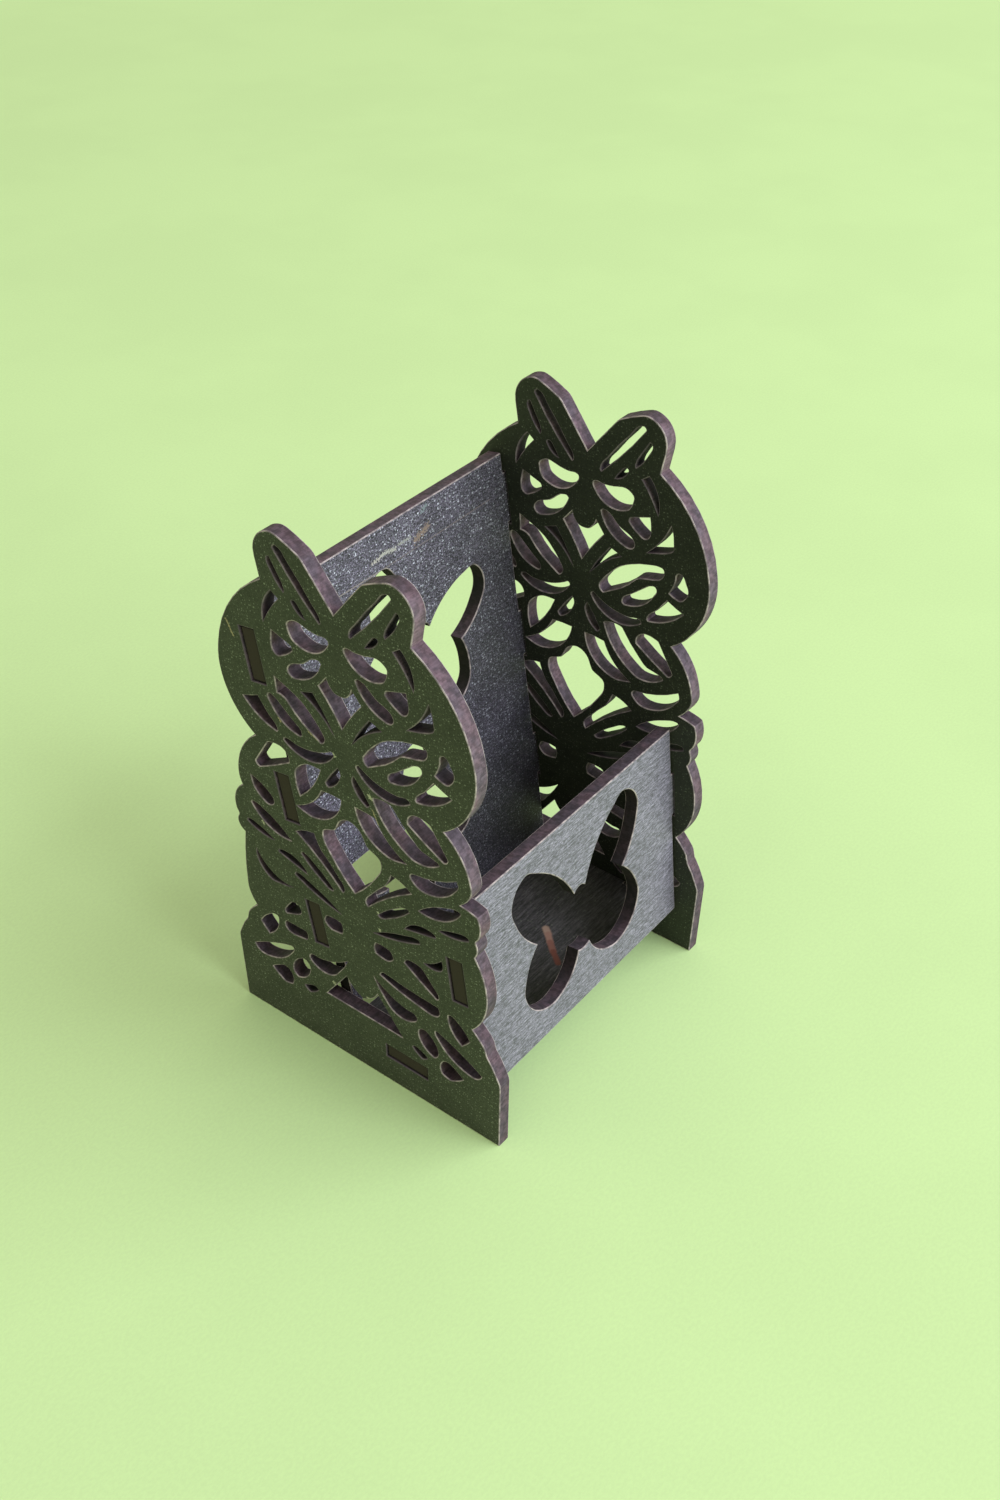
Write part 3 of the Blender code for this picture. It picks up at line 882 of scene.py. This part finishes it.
def make_floor(stage):
    """Make the round pale table top."""
    mesh = bpy.data.meshes.new("table_top")
    form = bmesh.new()
    bmesh.ops.create_circle(form, cap_ends=True, segments=TABLE_CORNERS, radius=stage.floor_radius)
    form.to_mesh(mesh)
    form.free()
    floor = bpy.data.objects.new("table_top", mesh)
    floor.location.z = -stage.floor_gap
    bpy.context.collection.objects.link(floor)
    material, tree, shader = start_material("table_paper", *TABLE_FINISH)
    place = object_place(tree)
    cloud = clouds(tree, place, TABLE_CLOUD, 4.0)
    fibre = group_node(tree, streak_group(), "Tone", Vector=place, **TABLE_FIBRE)
    tone = times(tree, span(tree, cloud, 0, 1, *TABLE_TONES), fibre)
    colour = blend(tree, 1.0, rgba(stage.floor_colour), tone, "MULTIPLY")
    tree.links.new(colour, shader.inputs["Base Color"])
    far = vector_maths(tree, "LENGTH", place, output="Value")
    faded = span(tree, far, stage.fade_start, stage.fade_end)
    backdrop = put(tree, "ShaderNodeEmission", {"Color": rgba(stage.floor_colour), "Strength": 1.0})
    mixed = put(
        tree,
        "ShaderNodeMixShader",
        {
            0: times(tree, faded, plain_sight(tree)),
            1: shader.outputs[0],
            2: backdrop.outputs[0],
        },
    )
    tree.links.new(mixed.outputs[0], tree.nodes["Material Output"].inputs["Surface"])
    mesh.materials.append(material)


def add_lamp(name, place, size, watts, colour):
    """Add a square soft lamp that faces the holder."""
    data = bpy.data.lights.new(name, "AREA")
    data.shape = "SQUARE"
    data.size = size
    data.energy = watts
    data.color = colour
    lamp = bpy.data.objects.new(name, data)
    lamp.location = place
    lamp.rotation_euler = Vector(place).to_track_quat("Z", "Y").to_euler()
    bpy.context.collection.objects.link(lamp)


def make_world(stage):
    """Light the room evenly, and show the camera the table's colour beyond its rim."""
    world = bpy.data.worlds.new("studio")
    bpy.context.scene.world = world
    world.use_nodes = True
    tree = world.node_tree
    tree.nodes.clear()
    soft = put(
        tree,
        "ShaderNodeBackground",
        {"Color": rgba(stage.room_colour), "Strength": stage.room_strength},
    )
    seen = put(tree, "ShaderNodeBackground", {"Color": rgba(stage.floor_colour), "Strength": 1.0})
    mixed = put(
        tree, "ShaderNodeMixShader", {0: plain_sight(tree), 1: soft.outputs[0], 2: seen.outputs[0]}
    )
    put(tree, "ShaderNodeOutputWorld", {"Surface": mixed.outputs[0]})


def make_camera(stage):
    """Set the camera at the photograph's place, angle and framing."""
    data = bpy.data.cameras.new("camera")
    data.lens = stage.lens
    data.sensor_width = stage.sensor
    data.shift_y = stage.shift_up
    camera = bpy.data.objects.new("camera", data)
    turn = Matrix.Rotation(-stage.camera_azimuth, 4, "Z")
    tilt = Matrix.Rotation(math.pi / 2 - stage.camera_elevation, 4, "X")
    roll = Matrix.Rotation(stage.camera_roll, 4, "Z")
    camera.matrix_world = Matrix.Translation(stage.camera_place) @ turn @ tilt @ roll
    bpy.context.collection.objects.link(camera)
    bpy.context.scene.camera = camera


# Settings

class CardHolderBoards(bpy.types.PropertyGroup):
    """Sizes and colours of the boards."""

    softening: bpy.props.FloatProperty(
        name="Softening",
        description="How far each cut edge is rounded",
        default=0.00019,
        unit="LENGTH",
    )
    tenon_reach: bpy.props.FloatProperty(
        name="Tenon reach",
        description="Half width beyond which a panel is all tenon",
        default=0.0340,
        unit="LENGTH",
    )
    side_colour: bpy.props.FloatVectorProperty(
        name="Side boards",
        description="Coat of the side boards",
        default=(0.033, 0.0355, 0.0243),
        subtype="COLOR",
    )
    side_specks: bpy.props.FloatVectorProperty(
        name="Side specks",
        description="Specks in the side boards",
        default=(0.20, 0.225, 0.165),
        subtype="COLOR",
    )
    front_colour: bpy.props.FloatVectorProperty(
        name="Front panel",
        description="Coat of the front panel",
        default=(0.193, 0.174, 0.231),
        subtype="COLOR",
    )
    front_specks: bpy.props.FloatVectorProperty(
        name="Front specks",
        description="Specks in the front panel",
        default=(0.36, 0.34, 0.43),
        subtype="COLOR",
    )
    back_colour: bpy.props.FloatVectorProperty(
        name="Back panel",
        description="Coat of the back panel",
        default=(0.088, 0.076, 0.108),
        subtype="COLOR",
    )
    back_specks: bpy.props.FloatVectorProperty(
        name="Back specks",
        description="Specks in the back panel",
        default=(0.38, 0.38, 0.45),
        subtype="COLOR",
    )
    floor_colour: bpy.props.FloatVectorProperty(
        name="Floor panel",
        description="Coat of the floor panel",
        default=(0.075, 0.068, 0.073),
        subtype="COLOR",
    )
    edge_colour: bpy.props.FloatVectorProperty(
        name="Cut edges",
        description="Edges left by the cutter",
        default=(0.13, 0.098, 0.13),
        subtype="COLOR",
    )
    tenon_colour: bpy.props.FloatVectorProperty(
        name="Tenon ends",
        description="Burnt ends of the tenons",
        default=(0.037, 0.026, 0.022),
        subtype="COLOR",
    )
    panel_edges: bpy.props.FloatProperty(
        name="Panel edges",
        description="Tone of the panels' cut edges beside the side boards'",
        default=1.1,
    )
    # Painted shade on the panels' cut edges that face left
    panel_left_shade: bpy.props.FloatProperty(
        name="Panel left shade",
        description="Tone of the panels' cut edges that face left, beside the others",
        default=0.18,
    )
    # Painted shade on the cut edges near the foot
    low_edge_shade: bpy.props.FloatProperty(
        name="Low edges",
        description="Tone of the cut edges near the foot, beside the top",
        default=0.75,
    )
    # Painted shade in the narrowest slits, where little light gets in
    slit_shade: bpy.props.FloatProperty(
        name="Slit shade",
        description="How much the walls of the narrowest slits darken",
        default=0.92,
    )
    # Painted shade on the cut edges that face up
    upward_shade: bpy.props.FloatProperty(
        name="Upward shade", description="Tone of cut edges that face up, beside the others", default=0.62
    )
    # The rims' pale burr tone, in part a painted highlight
    rim_colour: bpy.props.FloatVectorProperty(
        name="Rims",
        description="Burr along the cut faces",
        default=(0.50, 0.42, 0.42),
        subtype="COLOR",
    )


class CardHolderStage(bpy.types.PropertyGroup):
    """The table, the lamps and the camera."""

    floor_radius: bpy.props.FloatProperty(
        name="Table radius", description="Radius of the table top", default=6.0, unit="LENGTH"
    )
    floor_gap: bpy.props.FloatProperty(
        name="Table gap", description="Gap under the holder", default=0.00005, unit="LENGTH"
    )
    floor_colour: bpy.props.FloatVectorProperty(
        name="Table", description="Colour of the table", default=(0.66, 0.88, 0.41), subtype="COLOR"
    )
    fade_start: bpy.props.FloatProperty(
        name="Fade start",
        description="Where the table begins to turn into backdrop",
        default=0.5,
        unit="LENGTH",
    )
    fade_end: bpy.props.FloatProperty(
        name="Fade end", description="Where the table is all backdrop", default=1.5, unit="LENGTH"
    )
    key_place: bpy.props.FloatVectorProperty(
        name="Key lamp",
        description="Place of the main lamp",
        default=(0.173, -1.982, 1.342),
        subtype="TRANSLATION",
    )
    key_size: bpy.props.FloatProperty(
        name="Key size", description="Side of the main lamp", default=1.6, unit="LENGTH"
    )
    key_watts: bpy.props.FloatProperty(
        name="Key power", description="Power of the main lamp", default=38, unit="POWER"
    )
    key_light: bpy.props.FloatVectorProperty(
        name="Key colour",
        description="Colour of the main lamp",
        default=(0.92, 1.0, 1.10),
        subtype="COLOR",
    )
    side_place: bpy.props.FloatVectorProperty(
        name="Side lamp",
        description="Place of the lamp at the right",
        default=(1.478, -1.331, 1.342),
        subtype="TRANSLATION",
    )
    side_size: bpy.props.FloatProperty(
        name="Side size", description="Side of the lamp at the right", default=1.4, unit="LENGTH"
    )
    side_watts: bpy.props.FloatProperty(
        name="Side power", description="Power of the lamp at the right", default=19, unit="POWER"
    )
    side_light: bpy.props.FloatVectorProperty(
        name="Side colour",
        description="Colour of the lamp at the right",
        default=(0.92, 1.0, 1.10),
        subtype="COLOR",
    )
    room_colour: bpy.props.FloatVectorProperty(
        name="Room",
        description="Colour of the room's light",
        default=(1.06, 1.0, 0.90),
        subtype="COLOR",
    )
    room_strength: bpy.props.FloatProperty(
        name="Room strength", description="Strength of the room's light", default=0.5
    )
    camera_place: bpy.props.FloatVectorProperty(
        name="Camera",
        description="Place of the camera",
        default=(-0.18629, -0.14715, 0.24241),
        subtype="TRANSLATION",
    )
    camera_azimuth: bpy.props.FloatProperty(
        name="Azimuth",
        description="Turn to the right of +Y",
        default=math.radians(52.92),
        subtype="ANGLE",
    )
    camera_elevation: bpy.props.FloatProperty(
        name="Elevation",
        description="Tilt below the horizon",
        default=math.radians(44.95),
        subtype="ANGLE",
    )
    camera_roll: bpy.props.FloatProperty(
        name="Roll",
        description="Turn about the view axis",
        default=math.radians(0.67),
        subtype="ANGLE",
    )
    lens: bpy.props.FloatProperty(
        name="Lens", description="Focal length", default=37.19, unit="CAMERA"
    )
    sensor: bpy.props.FloatProperty(
        name="Sensor", description="Long side of the sensor", default=36.0, unit="CAMERA"
    )
    shift_up: bpy.props.FloatProperty(
        name="Shift", description="Upward shift as a share of the long side", default=0.1333
    )


# Operators

def dress_board(node, settings, colour, specks, looks, reach, shade, left_shade=1.0):
    """Cut one board again and give it its face, rim and edge."""
    drawing = read_drawing(node)
    face = face_material(node + "_face", colour, specks, drawing, looks)
    rim = rim_material("board_rim" if reach == NO_TENONS else node + "_rim", settings, reach, shade)
    edge = edge_material(node + "_edge", settings, drawing, reach, shade, left_shade)
    cut_board(node, settings, face, rim, edge)


class CARDHOLDER_OT_side_boards(bpy.types.Operator):
    """Cut and dress both fretwork side boards"""

    bl_idname = "cardholder.side_boards"
    bl_label = "Side Boards"

    def execute(self, context):
        settings = context.scene.card_holder_boards
        for node, scuffs, sides in (
            ("left_side_board", LEFT_SCUFFS, (INNER_SHADE, 1.0)),
            ("right_side_board", [], (1.0, INNER_SHADE)),
        ):
            looks = {**SIDE_LOOKS, "scuffs": scuffs, "sides": sides}
            dress_board(
                node, settings, settings.side_colour, settings.side_specks, looks, NO_TENONS, 1.0
            )
        return {"FINISHED"}


class CARDHOLDER_OT_front_panel(bpy.types.Operator):
    """Cut and dress the low front panel"""

    bl_idname = "cardholder.front_panel"
    bl_label = "Front Panel"

    def execute(self, context):
        settings = context.scene.card_holder_boards
        dress_board(
            "front_panel", settings, settings.front_colour, settings.front_specks, FRONT_LOOKS,
            settings.tenon_reach, settings.panel_edges, settings.panel_left_shade,
        )
        return {"FINISHED"}


class CARDHOLDER_OT_back_panel(bpy.types.Operator):
    """Cut and dress the tall back panel"""

    bl_idname = "cardholder.back_panel"
    bl_label = "Back Panel"

    def execute(self, context):
        settings = context.scene.card_holder_boards
        dress_board(
            "back_panel", settings, settings.back_colour, settings.back_specks, BACK_LOOKS,
            settings.tenon_reach, settings.panel_edges, BACK_LEFT_SHADE * settings.panel_left_shade,
        )
        return {"FINISHED"}


class CARDHOLDER_OT_floor_panel(bpy.types.Operator):
    """Cut and dress the floor panel that the cards stand on"""

    bl_idname = "cardholder.floor_panel"
    bl_label = "Floor Panel"

    def execute(self, context):
        settings = context.scene.card_holder_boards
        dress_board(
            "floor_panel", settings, settings.floor_colour, settings.side_specks, FLOOR_LOOKS,
            settings.tenon_reach, settings.panel_edges, settings.panel_left_shade,
        )
        return {"FINISHED"}


class CARDHOLDER_OT_stage(bpy.types.Operator):
    """Make the pale table, the soft lamps, the room and the camera"""

    bl_idname = "cardholder.stage"
    bl_label = "Stage"

    def execute(self, context):
        stage = context.scene.card_holder_stage
        make_floor(stage)
        add_lamp("key_lamp", stage.key_place, stage.key_size, stage.key_watts, stage.key_light)
        add_lamp("side_lamp", stage.side_place, stage.side_size, stage.side_watts, stage.side_light)
        make_world(stage)
        make_camera(stage)
        context.scene.view_settings.view_transform = "Standard"
        return {"FINISHED"}


class CARDHOLDER_PT_sidebar(bpy.types.Panel):
    """Lists the steps that dress the card holder"""

    bl_label = "Card Holder"
    bl_space_type = "VIEW_3D"
    bl_region_type = "UI"
    bl_category = "Card Holder"

    def draw(self, context):
        for operator in OPERATORS:
            self.layout.operator(operator.bl_idname)
        for settings in (context.scene.card_holder_boards, context.scene.card_holder_stage):
            box = self.layout.box()
            for name in settings.__annotations__:
                box.prop(settings, name)


OPERATORS = (
    CARDHOLDER_OT_side_boards,
    CARDHOLDER_OT_front_panel,
    CARDHOLDER_OT_back_panel,
    CARDHOLDER_OT_floor_panel,
    CARDHOLDER_OT_stage,
)
CLASSES = (CardHolderBoards, CardHolderStage, *OPERATORS, CARDHOLDER_PT_sidebar)


def register():
    """Register the classes and hang the settings on the scene."""
    for cls in CLASSES:
        bpy.utils.register_class(cls)
    bpy.types.Scene.card_holder_boards = bpy.props.PointerProperty(type=CardHolderBoards)
    bpy.types.Scene.card_holder_stage = bpy.props.PointerProperty(type=CardHolderStage)


def unregister():
    """Remove the settings and the classes."""
    del bpy.types.Scene.card_holder_stage
    del bpy.types.Scene.card_holder_boards
    for cls in reversed(CLASSES):
        bpy.utils.unregister_class(cls)


def main():
    """Dress the holder piece by piece."""
    register()
    bpy.ops.cardholder.side_boards()
    bpy.ops.cardholder.front_panel()
    bpy.ops.cardholder.back_panel()
    bpy.ops.cardholder.floor_panel()
    bpy.ops.cardholder.stage()


if __name__ == "__main__":
    main()
